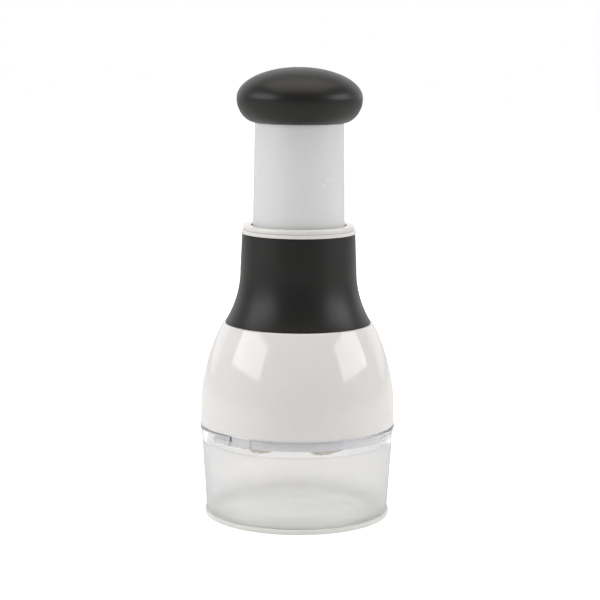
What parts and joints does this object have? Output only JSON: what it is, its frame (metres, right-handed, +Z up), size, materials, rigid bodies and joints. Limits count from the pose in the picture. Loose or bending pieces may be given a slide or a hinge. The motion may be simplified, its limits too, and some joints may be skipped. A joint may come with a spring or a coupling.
{
  "type": "hand chopper",
  "caption": "Hand-pressed food chopper: round soft knob on a sprung plunger, flared neck grip, bell housing with turning wavy blades, bayonet cup with a pull-off base.",
  "frame": {"origin": "middle of the underside, where the soft foot stands on the table", "axes": "+Z up along the plunger, -Y towards the front; a closed bayonet channel lies left of the front"},
  "size_m": [0.0948, 0.0948, 0.2175],
  "materials": {
    "soft_black": "satin soft-touch",
    "gloss_white": "polished",
    "moulded_white": "as moulded",
    "bearing_plastic": "smooth",
    "clear_plastic": "clear band, frosted below",
    "frosted_plastic": "frosted",
    "soft_foot": "matt",
    "blade_steel": "fine brushed",
    "bright_steel": "bright"
  },
  "bodies": {
    "base": {"cup_base": "frosted_plastic", "base_foot": "soft_foot"},
    "cup": {"cup": "clear_plastic"},
    "housing": {"housing_bell": "gloss_white", "grip_sleeve": "soft_black", "neck_collar": "gloss_white", "neck_bush": "bearing_plastic", "inner_guide": "moulded_white", "guide_screws": "bright_steel", "spindle_bushes": "bearing_plastic", "index_ring": "moulded_white", "return_spring": "bright_steel"},
    "plunger": {"knob_grip": "soft_black", "knob_core": "moulded_white", "knob_screw": "bright_steel", "plunger_tube": "gloss_white", "tube_stop": "bearing_plastic", "spring_washer": "bright_steel", "spindle": "bright_steel", "retaining_ring": "bright_steel", "end_nut": "bright_steel"},
    "blade_carriage": {"blade_carrier": "moulded_white", "carriage_crown": "moulded_white", "blade_clamp": "blade_steel", "blade_rivets": "bright_steel", "blade_front": "blade_steel", "blade_back": "blade_steel"}
  },
  "joints": [
    {"name": "base_pull", "type": "slide", "parent": "base", "child": "cup", "axis": [0, 0, 1], "range_m": [0, 0.03]},
    {"name": "bayonet_turn", "type": "hinge", "parent": "cup", "child": "housing", "pos_m": [0, 0, 0.0454], "axis": [0, 0, 1], "range_deg": [0, 15]},
    {"name": "plunger_press", "type": "slide", "parent": "housing", "child": "plunger", "axis": [0, 0, -1], "range_m": [0, 0.033], "stiffness_N_per_m": 400, "springref_m": -0.03, "deforming": ["return_spring"]},
    {"name": "blade_index", "type": "hinge", "parent": "plunger", "child": "blade_carriage", "pos_m": [0, 0, 0.054], "axis": [0, 0, 1], "range_deg": [-30, 0]}
  ],
  "couplings": [
    {"joint": "blade_index", "follows": "plunger_press", "rad_per_m": -15.861}
  ]
}
